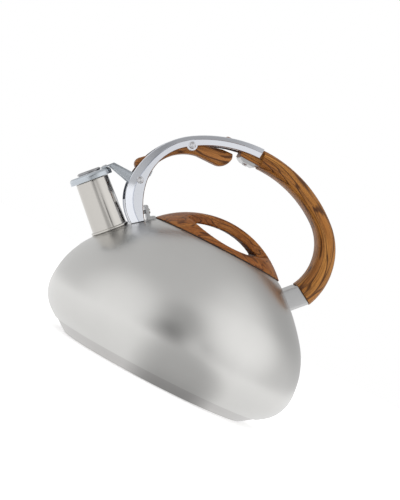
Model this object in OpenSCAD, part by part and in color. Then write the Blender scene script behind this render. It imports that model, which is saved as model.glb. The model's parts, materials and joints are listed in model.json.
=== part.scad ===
// Stovetop whistling kettle: a drawn steel body with a lift-out lid, a short spout with a
// whistle cap, and a fixed handle whose trigger opens the cap.
// Millimetres. The origin is the middle of the base, +Z is up, and the spout points to -X.

/* [Body] */
// Radius of the body at its widest
body_r = 110.7; // [95:0.1:135]
// Height of the widest ring above the base
belly_z = 35.5; // [30:0.5:45]
// Radius of the shoulder arc above the widest ring
shoulder_r = 71; // [60:1:85]
// Radius of the shallow dome above the shoulder
dome_r = 180; // [160:1:220]
// Direction in which the shoulder meets the dome, up from level
dome_join = 37; // [32:0.5:42]
// Radius of the arc below the widest ring
low_r = 30; // [25:0.5:36]
// Slope of the body's underside, up from level
low_slope = 36; // [32:0.5:40]
// Thickness of the body sheet
wall = 1; // [0.8:0.1:1.4]
// Height of the seam between the shell and the pan
seam_z = 8; // [7:0.5:10]
// Overlap of the pan inside the shell, along its curve
seam_lap = 8; // [6:0.5:12]

/* [Base] */
// Thickness of the steel cap under the base
cap_sheet = 0.8; // [0.6:0.1:1.2]
// Thickness of the aluminium disc that spreads the heat
disc_t = 4; // [3:0.1:4.4]

/* [Mouth and lid] */
// Radius of the body's rim, which is also the lid's
rim_r = 58; // [50:0.5:64]
// Width of the flat rim round the mouth
rim_land = 6; // [4:0.5:8]
// Depth of the neck below the rim
neck_h = 9; // [7:0.5:12]
// Thickness of the seal between the lid and the rim
gasket_t = 0.8; // [0.6:0.1:1.2]
// Height of the lid's arch above its edge
lid_rise = 25; // [22:0.5:28]
// Half the length of the finger opening under the arch
finger_half = 30; // [26:0.5:34]
// Thickness of the arch at its middle
arch_t = 8.6; // [7:0.1:10]
// Width of the arch at its middle
arch_w = 19; // [16:0.5:24]
// Thickness of the lid's disc at its middle
disc_mid = 4.2; // [4:0.1:6]
// Depth of the steel skirt below the lid
skirt_h = 6; // [4:0.5:8]

/* [Spout] */
// Distance of the spout's foot inside the body's widest ring
spout_in = 24.7; // [20:0.1:30]
// Length of the spout along its axis
spout_len = 43; // [38:0.5:48]
// Outer radius of the spout at its lip
lip_r = 13.65; // [12:0.05:15]
// How much wider the spout's radius is at its foot
spout_flare = 0.95; // [0.4:0.05:2]
// Thickness of the spout's wall
spout_wall = 1; // [0.8:0.1:1.2]
// Width of the collar round the spout's foot
collar_out = 1.2; // [0.8:0.1:3]
// Height of the collar
collar_h = 2; // [1.5:0.1:3]

/* [Spout cap] */
// How far the cap reaches past the lip all round
cap_over = 3.95; // [3.4:0.05:5]
// Thickness of the cap
cap_t = 5.4; // [5:0.1:7]
// Distance of the cap's squared rear end inside its rim
tail_in = 0.6; // [0:0.1:2]
// Depth of the whistle cup below the lip
cup_drop = 3.6; // [2:0.1:4]
// Distance of the whistle cup inside the lip's outer edge
cup_in = 3.45; // [3.3:0.05:4.5]
// Radius of the raised whistle disc on the cap
whistle_r = 10; // [8:0.1:10.5]
// Height of the raised whistle disc
whistle_h = 2.5; // [2:0.1:3.5]

/* [Handle] */
// Height of the handle's top above the rim
handle_rise = 91.7; // [80:0.1:110]
// Width of the chromed yoke across its two rails
yoke_w = 24; // [22:0.2:30]
// Thickness of each rail
rail_t = 2.6; // [2:0.1:3]
// Width of the grip
grip_w = 27; // [24:0.5:32]
// Diameter of the pin that the cap's arm turns on
arm_pin_d = 4; // [3:0.1:5]
// Diameter of the pin that the trigger turns on
trigger_pin_d = 4; // [3:0.1:4.4]
// Radial clearance of a part that turns on a pin
run_gap = 0.05; // [0.02:0.01:0.1]
// Gap between pieces that move past each other
side_gap = 0.6; // [0.4:0.1:1]
// Gap between two fixed pieces that meet
seat_gap = 0.05; // [0.02:0.01:0.1]

/* [Hidden] */
$fn = 96;
eps = 0.01;

// Points along an arc from one angle to another
function arc(c, r, from, to, n = 12) =
    [for (i = [0 : n]) let (a = from + (to - from) * i / n) c + r * [cos(a), sin(a)]];
// The centre of an arc that leaves another smoothly at an angle
function next_centre(c, r, r2, a) = c + (r - r2) * [cos(a), sin(a)];
function reversed(pts) = [for (i = [len(pts) - 1 : -1 : 0]) pts[i]];

// Every screw in the handle has the same shank
screw_r = 1.55;
screw_hole_r = screw_r + seat_gap;
screw_head_r = 2.8;

// The body's outline, as radius and height: dome, shoulder, low arc and sloping underside
shoulder_c = [body_r - shoulder_r, belly_z];
dome_c = next_centre(shoulder_c, shoulder_r, dome_r, dome_join);
low_c = [body_r - low_r, belly_z];
low_end = low_slope - 90;
function dome_angle(r) = acos((r - dome_c[0]) / dome_r);
function dome_z(r) = dome_c[1] + dome_r * sin(dome_angle(r));
rim_z = dome_z(rim_r);
mouth_r = rim_r - rim_land;
ring_seam_r = rim_r - 2 * wall;
// The radius of the sloping underside at a height, t inside the outer surface
function slope_r(z, t) = let (p = low_c + (low_r - t) * [cos(low_end), sin(low_end)])
    p[0] - (p[1] - z) / tan(low_slope);
// The outline from radius r down to height z, t inside the outer surface
function body_line(t, r, z) = concat(
    arc(dome_c, dome_r - t, acos((r - dome_c[0]) / (dome_r - t)), dome_join, 10),
    arc(shoulder_c, shoulder_r - t, dome_join, 0, 12),
    arc(low_c, low_r - t, 0, low_end, 8),
    [[slope_r(z, t), z]]);
pan_floor = cap_sheet + disc_t;

// The spout, its collar and its cap are all measured from the lip
spout_foot_r = lip_r + spout_flare;
collar_r = spout_foot_r + collar_out;
cap_r = lip_r + cap_over;
cap_tail = cap_r - tail_in;
cup_r = lip_r - cup_in;

// The spout stands square to the dome. sx runs up and back along its foot, sz along its axis
spout_r = body_r - spout_in;
spout_a = dome_angle(spout_r);
spout_c = [-spout_r, dome_z(spout_r)];
spout_sx = [sin(spout_a), cos(spout_a)];
spout_sz = [-cos(spout_a), sin(spout_a)];
// A point beside the spout, given across and along its axis, as X and Z
function by_spout(across, along) = spout_c + across * spout_sx + along * spout_sz;
seal_gap = 0.2;
steam_r = 4;
cap_bottom = spout_len + seal_gap;
cap_top = cap_bottom + cap_t;
skin = 1.2;

// The handle's outline, as X and Z. Its arcs run on smoothly from one to the next
handle_z = rim_z + handle_rise;
crown_r = 115.5;
crown_c = [0, handle_z - crown_r];
yoke_side_r = 63.7;
yoke_side_a = 122.8;
yoke_side_c = next_centre(crown_c, crown_r, yoke_side_r, yoke_side_a);
leg_r = 37.8;
leg_a = 181.8;
leg_c = next_centre(yoke_side_c, yoke_side_r, leg_r, leg_a);
inner_r = 98.5;
inner_c = [-3.2, handle_z - 9 - inner_r];
inner_side_r = 42.4;
inner_side_a = 126.5;
inner_side_c = next_centre(inner_c, inner_r, inner_side_r, inner_side_a);
inner_leg_r = 60;
inner_leg_a = 190;
inner_leg_c = next_centre(inner_side_c, inner_side_r, inner_leg_r, inner_leg_a);
rail_gap = yoke_w - 2 * rail_t;
yoke_end_a = 92.3;
yoke_inner_end_a = 91.3;
yoke_foot_a = 262;
inner_foot_a = 236;
web_t = 2.2;
web_start_a = 110;
web_end_a = 149;
foot_h = 15.5;

// The grip's outline: its outer line runs on from the yoke's, and its inner line is lower
grip_bend_r = 57.8;
grip_bend_a = 48.8;
grip_bend_c = next_centre(crown_c, crown_r, grip_bend_r, grip_bend_a);
grip_end_a = -25;
grip_inner_r = 96.3;
grip_inner_c = [4, handle_z - 16 - grip_inner_r];
grip_inner_bend_r = 39.2;
grip_inner_bend_a = 53.8;
grip_inner_bend_c = next_centre(grip_inner_c, grip_inner_r, grip_inner_bend_r, grip_inner_bend_a);
grip_inner_end_a = -30;
grip_front_a = 91.6;
tongue_top_gap = 0.8;
tongue_tip_x = -41;
tongue_thin = 3.6;
tongue_step_x = -20;
tongue_z = handle_z - 14.2;
plate_t = 3;

// Hinge pins, from the yoke's outline
arm_pin = leg_c + [-30, 2.6];
arm_pin_r = arm_pin_d / 2;
trigger_pin = [-59.4, handle_z - 25.3];
trigger_pin_r = trigger_pin_d / 2;
pin_head_r = 3;
pin_head_h = 1.2;
bush_r = trigger_pin_r + run_gap + 0.9;

// The trigger's nose pushes the tail of the cap's arm
nose_r = 5.5;
nose_c = arm_pin + [-4.5, 12.5];
nose_w = 12.4;
trigger_w = rail_gap - 2 * side_gap;
narrow_r = 21.5;
tail_gap = 0.4;
ear_t = 1.4;
ear_hub_r = 5;
ear_out = rail_gap / 2 - side_gap;
ear_in = ear_out - ear_t;

// Extrudes an outline drawn in X and Z by a width across Y, centred
module across(w) {
    rotate([90, 0, 0])
        linear_extrude(height = w, center = true)
            children();
}
// Puts an outline drawn in X and Z between two distances from the middle, on both sides
module both_sides(near, far) {
    for (side = [-1, 1])
        translate([0, side * (near + far) / 2, 0])
            across(far - near)
                children();
}
// A cylinder across Y at a point given as X and Z
module cross_rod(p, r, w) {
    translate([p[0], 0, p[1]])
        rotate([90, 0, 0])
            cylinder(r = r, h = w, center = true);
}
// Places children with Z along the spout and X up its back
module at_spout() {
    translate([spout_c[0], 0, spout_c[1]])
        rotate([0, spout_a - 90, 0])
            children();
}
// Everything inside the body's outer surface, swollen by a gap
module body_envelope(gap) {
    rotate_extrude()
        polygon(concat([[0, 0], [0, rim_z + gap], [rim_r, rim_z + gap]],
            body_line(-gap, rim_r, 0)));
}

module body_shell() {
    neck_low = -6;
    neck_low_r = collar_r + 6;
    bore = spout_foot_r - 1.6;
    color("lightsteelblue")
    difference() {
        union() {
            rotate_extrude()
                polygon(concat([[ring_seam_r, rim_z]],
                    body_line(0, rim_r, seam_z),
                    reversed(body_line(wall, rim_r - wall, seam_z)),
                    [[ring_seam_r, rim_z - wall]]));
            difference() {
                at_spout()
                    translate([0, 0, neck_low])
                        cylinder(h = -neck_low, r1 = neck_low_r, r2 = collar_r + 0.2);
                body_envelope(-wall / 2);
            }
        }
        at_spout()
            translate([0, 0, 2 * neck_low])
                cylinder(h = -3 * neck_low, r = bore);
    }
}

// The ring that lines the mouth: a flat land inside the shell's rim, and a neck below it
module mouth_ring() {
    land_r = ring_seam_r - seat_gap;
    color("lightsteelblue")
    rotate_extrude()
        polygon([[mouth_r, rim_z - neck_h], [mouth_r + wall, rim_z - neck_h],
            [mouth_r + wall, rim_z - wall], [land_r, rim_z - wall], [land_r, rim_z], [mouth_r, rim_z]]);
}

module base_pan() {
    gap = wall + seat_gap;
    lap_a = low_end + seam_lap / low_r * 180 / PI;
    color("silver")
    rotate_extrude()
        polygon(concat([[0, pan_floor], [slope_r(pan_floor, gap), pan_floor]],
            arc(low_c, low_r - gap, low_end, lap_a, 5),
            arc(low_c, low_r - gap - wall, lap_a, low_end, 5),
            [[slope_r(pan_floor + wall, gap + wall), pan_floor + wall], [0, pan_floor + wall]]));
}

module heat_disc() {
    gap = wall + cap_sheet + 2 * seat_gap;
    color("gainsboro")
    rotate_extrude()
        polygon([[0, cap_sheet], [slope_r(cap_sheet, gap), cap_sheet],
            [slope_r(pan_floor, gap), pan_floor], [0, pan_floor]]);
}

module base_cap() {
    gap = wall + seat_gap;
    color("silver")
    rotate_extrude()
        polygon([[0, 0], [slope_r(0, gap), 0], [slope_r(pan_floor, gap), pan_floor],
            [slope_r(pan_floor, gap + cap_sheet), pan_floor],
            [slope_r(cap_sheet, gap + cap_sheet), cap_sheet], [0, cap_sheet]]);
}

// The tube has a narrow foot that passes through the body's neck
module spout_tube() {
    foot = -3;
    foot_r = spout_foot_r - 1.6 - seat_gap;
    bead = 1;
    color("silver")
    at_spout()
        rotate_extrude()
            polygon([[foot_r, foot], [foot_r, 0], [spout_foot_r, 0], [lip_r, spout_len - bead],
                [lip_r, spout_len], [lip_r - spout_wall, spout_len],
                [lip_r - spout_wall, spout_len - bead], [foot_r - spout_wall, 0],
                [foot_r - spout_wall, foot]]);
}

module spout_collar() {
    color("silver")
    at_spout()
        difference() {
            cylinder(r = collar_r, h = collar_h);
            translate([0, 0, -1])
                cylinder(r = spout_foot_r + seat_gap, h = collar_h + 2);
        }
}

// The band between the yoke's outer and inner lines, t inside the outer one
module yoke_band(t = 0) {
    polygon(concat(
        arc(crown_c, crown_r - t, yoke_end_a, yoke_side_a, 10),
        arc(yoke_side_c, yoke_side_r - t, yoke_side_a, leg_a, 16),
        arc(leg_c, leg_r - t, leg_a, yoke_foot_a, 16),
        reversed(arc(inner_leg_c, inner_leg_r, inner_leg_a, inner_foot_a, 8)),
        reversed(arc(inner_side_c, inner_side_r, inner_side_a, inner_leg_a, 14)),
        reversed(arc(inner_c, inner_r, yoke_inner_end_a, inner_side_a, 10))));
}

// A thin strip along the yoke's outer line, which joins the rails above the trigger
module yoke_web() {
    intersection() {
        difference() {
            yoke_band();
            yoke_band(web_t);
        }
        translate(yoke_side_c)
            polygon(concat([[0, 0]], arc([0, 0], 2 * yoke_side_r, web_start_a, web_end_a, 2)));
    }
}

module handle_yoke() {
    lobe_r = 4.6;
    // The solid foot fills the space between the rails below this height
    foot_top = dome_z(-arm_pin[0]) + foot_h + 12;
    foot_low = rim_z - 40;
    bevel_c = leg_c + [12, 4.7];
    bevel_r = 44.1;
    bevel_depth = 1.7;
    bevel_run = 5.6;
    bevel_low = rim_z - 30;
    bevel_top = handle_z - 41;
    color("aliceblue")
    difference() {
        union() {
            both_sides(rail_gap / 2, yoke_w / 2)
                union() {
                    yoke_band();
                    translate(trigger_pin)
                        circle(r = lobe_r);
                }
            across(yoke_w - 1)
                yoke_web();
            across(yoke_w - 1)
                intersection() {
                    yoke_band();
                    translate([-100, foot_low])
                        square([60, foot_top - foot_low]);
                }
            // The flat pad that the front bracket is screwed to
            at_tab()
                translate([-8, -tab_w / 2, -3])
                    cube([8, tab_w, tab_h]);
        }
        body_envelope(seat_gap);
        at_tab()
            translate([-seat_gap, -yoke_w, -4])
                cube([20, 2 * yoke_w, tab_h + 5]);
        cross_rod(arm_pin, arm_pin_r, yoke_w + 2);
        cross_rod(trigger_pin, trigger_pin_r, yoke_w + 2);
        at_tab()
            translate([0, 0, tab_screw_z])
                rotate([0, -90, 0])
                    cylinder(r = screw_hole_r, h = 12);
        // The leg's outer edge slopes away on each side
        for (side = [0, 1])
            mirror([0, side, 0])
                difference() {
                    translate([-110, yoke_w / 2 - bevel_depth, bevel_low])
                        cube([50, bevel_depth + 1, bevel_top - bevel_low]);
                    translate([bevel_c[0], yoke_w / 2 - bevel_depth - eps, bevel_c[1]])
                        rotate([-90, 0, 0])
                            cylinder(r1 = bevel_r + bevel_run, r2 = bevel_r - bevel_run / bevel_depth,
                                h = bevel_depth + 1 + eps);
                }
    }
}

// The front bracket stands behind the leg, square to the dome
tab_out = 5.4;
tab_r = rim_r + tab_out;
tab_a = dome_angle(tab_r);
tab_t = 2.4;
tab_h = 12;
tab_w = 15;
tab_screw_z = 6.4;
module at_tab() {
    translate([-tab_r, 0, dome_z(tab_r)])
        rotate([0, tab_a - 90, 0])
            children();
}

module front_bracket() {
    flange = 2;
    // The toe stops short of the lid's edge
    toe = (tab_r - rim_r - side_gap) / sin(tab_a);
    color("slategray")
    difference() {
        at_tab()
            union() {
                translate([0, -tab_w / 2, -3])
                    cube([tab_t, tab_w, tab_h + 3 - tab_t]);
                translate([tab_t / 2, 0, tab_h - tab_t])
                    rotate([90, 0, 0])
                        cylinder(r = tab_t / 2, h = tab_w, center = true);
                translate([0, -tab_w / 2, -3])
                    cube([toe, tab_w, 3 + flange]);
            }
        body_envelope(seat_gap);
        at_tab()
            translate([-1, 0, tab_screw_z])
                rotate([0, 90, 0])
                    cylinder(r = screw_hole_r, h = 20);
    }
}

// A machine screw with a round head, its tip at the origin, pointing to -Z
module screw(r, length, head_r, head_h) {
    cylinder(r = r, h = length);
    translate([0, 0, length])
        cylinder(r1 = head_r, r2 = head_r * 0.7, h = head_h);
}

module foot_screw() {
    reach = 9;
    color("gray")
    at_tab()
        translate([tab_t - reach, 0, tab_screw_z])
            rotate([0, 90, 0])
                screw(screw_r, reach, screw_head_r, 1.6);
}

module arm_pin() {
    color("silver")
    hinge_pin(arm_pin, arm_pin_r);
}

module trigger_pin() {
    color("silver")
    hinge_pin(trigger_pin, trigger_pin_r);
}

module hinge_pin(p, r) {
    cross_rod(p, r, yoke_w + 2 * seat_gap);
    for (side = [0, 1])
        mirror([0, side, 0])
            translate([p[0], yoke_w / 2 + seat_gap, p[1]])
                rotate([-90, 0, 0])
                    cylinder(r1 = pin_head_r, r2 = pin_head_r - 0.6, h = pin_head_h);
}

module tongue_line() {
    top_r = crown_r - tongue_top_gap;
    polygon(concat(
        arc(crown_c, top_r, 88, acos((tongue_tip_x + 2) / top_r), 8),
        [[tongue_tip_x, crown_c[1] + sqrt(pow(top_r, 2) - pow(tongue_tip_x, 2)) - 2]],
        arc(crown_c, top_r - tongue_thin, acos(tongue_tip_x / (top_r - tongue_thin)),
            acos(tongue_step_x / (top_r - tongue_thin)), 4),
        [[tongue_step_x, tongue_z], [4, tongue_z]]));
}

// A ring of the grip, between a point of its outer line and one of its inner line
grip_sides = 28;
grip_square = 2.6;
function grip_ring(outer, inner, half_w) = let (mid = (outer + inner) / 2, up = (outer - inner) / 2)
    [for (k = [0 : grip_sides - 1]) let (a = 360 * k / grip_sides,
        c = sign(cos(a)) * pow(abs(cos(a)), 2 / grip_square),
        s = sign(sin(a)) * pow(abs(sin(a)), 2 / grip_square),
        p = mid + up * c) [p[0], half_w * s, p[1]]];

module grip() {
    crown_n = 8;
    bend_n = 14;
    outer = concat(arc(crown_c, crown_r, grip_front_a, grip_bend_a, crown_n),
        arc(grip_bend_c, grip_bend_r, grip_bend_a, grip_end_a, bend_n));
    inner = concat(arc(grip_inner_c, grip_inner_r, grip_front_a + 1.4, grip_inner_bend_a, crown_n),
        arc(grip_inner_bend_c, grip_inner_bend_r, grip_inner_bend_a, grip_inner_end_a, bend_n));
    rings = [for (i = [0 : len(outer) - 1]) if (i != crown_n) grip_ring(outer[i], inner[i], grip_w / 2)];
    last = len(rings) - 1;
    pts = [for (ring = rings, p = ring) p];
    n = grip_sides;
    walls = [for (i = [0 : last - 1], k = [0 : n - 1])
        [i * n + k, i * n + (k + 1) % n, (i + 1) * n + (k + 1) % n, (i + 1) * n + k]];
    front = [for (k = [n - 1 : -1 : 0]) k];
    rear = [for (k = [0 : n - 1]) last * n + k];
    color("sienna")
    difference() {
        union() {
            polyhedron(points = pts, faces = concat(walls, [front], [rear]));
            across(rail_gap - 2 * seat_gap)
                tongue_line();
        }
        translate([tongue_hole_x, 0, tongue_z - 1])
            cylinder(r = screw_hole_r, h = 7);
        for (side = [-1, 1])
            at_grip_end()
                translate([0, side * bracket_screw_y, -1])
                    cylinder(r = screw_hole_r, h = 10);
    }
}

// The plate that closes the yoke under the tongue, held by one screw
tongue_hole_x = -12;
module tongue_plate() {
    color("darkgray")
    difference() {
        across(rail_gap - 2 * seat_gap)
            polygon([[-19, tongue_z - plate_t / 3], [-15.6, tongue_z - plate_t], [-5, tongue_z - plate_t],
                [-5, tongue_z - seat_gap], [-19, tongue_z - seat_gap]]);
        translate([tongue_hole_x, 0, tongue_z - plate_t - 1])
            cylinder(r = screw_hole_r, h = plate_t + 2);
    }
}

module tongue_screw() {
    reach = 8;
    color("gray")
    translate([tongue_hole_x, 0, tongue_z - plate_t + reach])
        mirror([0, 0, 1])
            screw(screw_r, reach, screw_head_r, 1.4);
}

// The middle of the grip's end face, with Z pointing up into the grip
end_outer = grip_bend_c + grip_bend_r * [cos(grip_end_a), sin(grip_end_a)];
end_inner = grip_inner_bend_c + grip_inner_bend_r * [cos(grip_inner_end_a), sin(grip_inner_end_a)];
end_mid = (end_outer + end_inner) / 2;
end_tilt = atan2(end_inner[1] - end_outer[1], end_outer[0] - end_inner[0]);
bracket_screw_y = 5.5;
module at_grip_end() {
    translate([end_mid[0], 0, end_mid[1]])
        rotate([0, end_tilt, 0])
            children();
}

// A folded steel box that leans back from the dome and carries the grip's end
bracket_long = 18.4;
bracket_w = 21;
bracket_sheet = 2;
// Where the box meets the dome, and how far it leans from upright to get there
bracket_foot_r = 70.6;
bracket_foot = [bracket_foot_r, dome_z(bracket_foot_r)];
bracket_lean = atan2(end_mid[0] - bracket_foot[0], end_mid[1] - bracket_foot[1]);
// Its side, drawn in X and Z and set in by a distance
module bracket_side(inset) {
    reach = norm(end_mid - bracket_foot) + bracket_long;
    along = [cos(end_tilt), -sin(end_tilt)];
    up = [sin(end_tilt), cos(end_tilt)];
    down = -reach * [sin(bracket_lean), cos(bracket_lean)];
    top = end_mid - (seat_gap + inset) * up;
    half = (bracket_long / 2 - inset) * along;
    polygon([top - half, top + half, top + half + down, top - half + down]);
}

module rear_bracket() {
    color("lightgray")
    difference() {
        across(bracket_w)
            bracket_side(0);
        across(bracket_w - 2 * bracket_sheet)
            bracket_side(bracket_sheet);
        for (side = [-1, 1])
            at_grip_end()
                translate([0, side * bracket_screw_y, -5])
                    cylinder(r = screw_hole_r, h = 10);
        body_envelope(seat_gap);
    }
}

// A rectangle with round corners
module rounded(long, wide, r) {
    square([long - 2 * r, wide], center = true);
    square([long, wide - 2 * r], center = true);
    for (i = [-1, 1], j = [-1, 1])
        translate([i * (long / 2 - r), j * (wide / 2 - r)])
            circle(r = r);
}

module bracket_screws() {
    reach = 10;
    color("gray")
    at_grip_end()
        for (side = [-1, 1])
            translate([0, side * bracket_screw_y, reach - bracket_sheet - 2 * seat_gap])
                mirror([0, 0, 1])
                    screw(screw_r, reach, 2.6, 1.4);
}

// The lid: a dome whose middle is cut away on both sides to leave an arch for the fingers
lid_z = rim_z + gasket_t;
lid_sphere_r = (pow(rim_r, 2) + pow(lid_rise, 2)) / (2 * lid_rise);
lid_top = lid_z + lid_rise;
floor_z = lid_z + disc_mid;
roof_z = lid_top - arch_t;
floor_rise = 5;
floor_r = (pow(finger_half, 2) + pow(floor_rise, 2)) / (2 * floor_rise);
roof_drop = roof_z - floor_z - floor_rise;
roof_r = (pow(finger_half, 2) + pow(roof_drop, 2)) / (2 * roof_drop);

module lid_knob() {
    scoop_r = 62;
    color("peru")
    difference() {
        intersection() {
            translate([0, 0, lid_top - lid_sphere_r])
                sphere(r = lid_sphere_r, $fn = 128);
            translate([0, 0, lid_z])
                cylinder(r = rim_r, h = lid_rise + 1);
        }
        // The finger opening
        intersection() {
            cross_rod([0, floor_z + floor_r], floor_r, 2 * rim_r);
            cross_rod([0, roof_z - roof_r], roof_r, 2 * rim_r);
        }
        // The scoops beside the arch
        for (side = [-1, 1])
            intersection() {
                cross_rod([0, floor_z + floor_r], floor_r, 3 * rim_r);
                translate([0, side * (arch_w / 2 + scoop_r), lid_z])
                    cylinder(r = scoop_r, h = lid_rise + 1, $fn = 128);
            }
        for (a = knob_screw_a)
            rotate(a)
                translate([knob_screw_r, 0, lid_z - 1])
                    cylinder(r = knob_shank_r + seat_gap, h = knob_hole_depth + 1);
    }
}

// Three screws hold the knob to its plate. Their holes are a little deeper than they reach
knob_screw_r = 30;
knob_screw_a = [90, 210, 330];
knob_shank_r = 1.45;
knob_hole_depth = 3.4;
plug_r = mouth_r - 1.2;
lid_sheet = 0.8;
module lid_plate() {
    sheet = lid_sheet;
    color("silver")
    difference() {
        rotate_extrude()
            polygon([[0, lid_z - sheet], [plug_r + sheet, lid_z - sheet], [plug_r + sheet, lid_z - seat_gap],
                [0, lid_z - seat_gap]]);
        for (a = knob_screw_a)
            rotate(a)
                translate([knob_screw_r, 0, lid_z - sheet - 1])
                    cylinder(r = knob_shank_r + seat_gap, h = sheet + 2);
    }
    color("silver")
    rotate_extrude()
        polygon([[plug_r - sheet, lid_z - sheet - skirt_h], [plug_r, lid_z - sheet - skirt_h],
            [plug_r, lid_z - sheet + eps], [plug_r - sheet, lid_z - sheet + eps]]);
}

module lid_gasket() {
    color("dimgray")
    rotate_extrude()
        polygon([[plug_r + lid_sheet + seat_gap, rim_z + seat_gap], [rim_r - 1, rim_z + seat_gap],
            [rim_r - 1, lid_z - seat_gap], [plug_r + lid_sheet + seat_gap, lid_z - seat_gap]]);
}

module knob_screws() {
    reach = 3.8;
    color("gray")
    for (a = knob_screw_a)
        rotate(a)
            translate([knob_screw_r, 0, lid_z - lid_sheet + reach])
                mirror([0, 0, 1])
                    screw(knob_shank_r, reach, 2.6, 1.3);
}

module cap_cover() {
    round_r = 2.6;
    tail_w = 19;
    pocket_r = cap_r - skin;
    color("cadetblue")
    at_spout()
        difference() {
            union() {
                rotate_extrude()
                    polygon(concat([[0, cap_bottom], [cap_r, cap_bottom]],
                        arc([cap_r - round_r, cap_top - round_r], round_r, 0, 90, 8),
                        [[0, cap_top]]));
                translate([0, 0, cap_bottom + 1])
                    linear_extrude(height = cap_t - 1)
                        translate([cap_tail / 2, 0])
                            rounded(cap_tail, tail_w, 3);
            }
            translate([0, 0, cap_bottom - 1])
                cylinder(r = pocket_r, h = cap_t + 1 - skin);
            translate([0, 0, cap_bottom])
                cylinder(r = steam_r, h = cap_t + 1);
            for (side = [-1, 1])
                translate([rivet_x, side * rivet_y, cap_bottom])
                    cylinder(r = rivet_r + seat_gap, h = cap_t + 1);
        }
}

rivet_x = cap_tail - 3.6;
rivet_y = 4;
rivet_r = 1.2;
module arm_rivets() {
    body_h = skin + ear_t + 2 * seat_gap;
    color("gray")
    at_spout()
        for (side = [-1, 1])
            translate([rivet_x, side * rivet_y, cap_top - skin]) {
                cylinder(r = rivet_r, h = body_h + eps);
                translate([0, 0, body_h])
                    cylinder(r1 = 2.2, r2 = 1.4, h = 0.8);
            }
}

module cap_seal() {
    inner = lip_r - 3;
    outer = lip_r + 1;
    color("whitesmoke")
    at_spout()
        translate([0, 0, cap_bottom])
            difference() {
                cylinder(r = outer, h = cap_t - skin - seat_gap);
                translate([0, 0, -1])
                    cylinder(r = inner, h = cap_t + 2);
            }
}

// A cup under the cap, open at the top, that holds the lower whistle plate
cup_wall = 0.8;
whistle_hole_r = 1.6;
module whistle_cup() {
    top = cap_top - skin - seat_gap;
    bottom = spout_len - cup_drop;
    color("silver")
    at_spout()
        rotate_extrude()
            polygon([[steam_r, bottom], [cup_r, bottom], [cup_r, top], [cup_r - cup_wall, top],
                [cup_r - cup_wall, bottom + cup_wall], [steam_r, bottom + cup_wall]]);
}

module whistle_plate() {
    color("goldenrod")
    at_spout()
        translate([0, 0, spout_len - cup_drop + cup_wall + seat_gap])
            difference() {
                cylinder(r = cup_r - cup_wall - seat_gap, h = 1);
                translate([0, 0, -1])
                    cylinder(r = whistle_hole_r, h = 3);
            }
}

module whistle_disc() {
    groove_r = whistle_r * 0.62;
    color("gray")
    at_spout()
        translate([0, 0, cap_top + seat_gap])
            rotate_extrude()
                polygon([[whistle_hole_r, 0], [whistle_r, 0], [whistle_r, whistle_h - 0.6],
                    [whistle_r - 0.6, whistle_h], [groove_r + 0.5, whistle_h], [groove_r, whistle_h - 0.5],
                    [groove_r - 0.5, whistle_h], [whistle_hole_r, whistle_h]]);
}

// Two ears turn on the pin. A plate joins them over the cap, and another stands up as the tail
module cap_arm() {
    plate_z = cap_top + seat_gap;
    plate_x = whistle_r + 0.6;
    level = arm_pin + [-8.7, 2.8];
    bend = by_spout(cap_tail - 1.4, plate_z + ear_t);
    corner = by_spout(cap_tail + 0.5, plate_z);
    level_front = [bend[0] + 3.6, level[1]];
    tail_x = nose_c[0] + nose_r + tail_gap;
    tail_top = nose_c[1] + 0.4;
    color("cadetblue")
    difference() {
        union() {
            both_sides(ear_in, ear_out)
                union() {
                    polygon([by_spout(plate_x, plate_z), corner, arm_pin + [-8, -5.2],
                        arm_pin + [0, -ear_hub_r], arm_pin + [0, ear_hub_r], level, level_front, bend,
                        by_spout(plate_x, plate_z + ear_t)]);
                    translate(arm_pin)
                        circle(r = ear_hub_r);
                    polygon([arm_pin + [-2, 4], [tail_x, tail_top - 4], [tail_x, tail_top],
                        [tail_x + 3, tail_top], [tail_x + 4.7, tail_top - 2],
                        arm_pin + [ear_hub_r, 0]]);
                }
            across(2 * ear_out)
                polygon([by_spout(plate_x, plate_z), corner, level_front + [0.8, -ear_t],
                    level + [0, -ear_t], level, level_front, bend, by_spout(plate_x, plate_z + ear_t)]);
            across(2 * ear_out)
                polygon([[tail_x, tail_top - 6.4], [tail_x, tail_top], [tail_x + 3, tail_top],
                    [tail_x + 4.7, tail_top - 2], [tail_x + 4.7, tail_top - 6.4]]);
        }
        cross_rod(arm_pin, arm_pin_r + run_gap, yoke_w);
        at_spout()
            for (side = [-1, 1])
                translate([rivet_x, side * rivet_y, cap_top - 1])
                    cylinder(r = rivet_r + seat_gap, h = 5);
    }
}

// The trigger: a finger pad, a lever inside the rails, and the nose
module trigger_line() {
    pad_z = handle_z - 30;
    under_c = trigger_pin + [15.2, -40.6];
    end_r = 10;
    end_c = [-34.5, pad_z + end_r];
    outer_r = yoke_side_r - web_t - 1.6;
    polygon(concat(
        arc(nose_c, nose_r, 120, 375, 18),
        arc(under_c, 36, 157, 101, 10),
        arc(end_c, end_r, -90, 28, 10),
        [end_c + [0, 4.6], trigger_pin + [12, 6.4], trigger_pin + [2, 4.8]],
        arc(yoke_side_c, outer_r, 126, 152, 8)));
}

module trigger() {
    color("peru")
    difference() {
        union() {
            across(trigger_w)
                difference() {
                    trigger_line();
                    translate(arm_pin)
                        circle(r = narrow_r);
                }
            across(nose_w)
                trigger_line();
        }
        cross_rod(trigger_pin, bush_r + seat_gap, yoke_w);
        // The slot for the spring's coil and its two legs
        cross_rod(trigger_pin, coil_r + 2 * wire_r, spring_slot);
        translate([trigger_pin[0] - 3.6, -spring_slot / 2, trigger_pin[1]])
            cube([5, spring_slot, 8]);
        translate([trigger_pin[0] - long_leg - 1, -spring_slot / 2, trigger_pin[1] - coil_r - 2 * wire_r])
            cube([long_leg + 1, spring_slot, 3 * wire_r]);
    }
}

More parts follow.
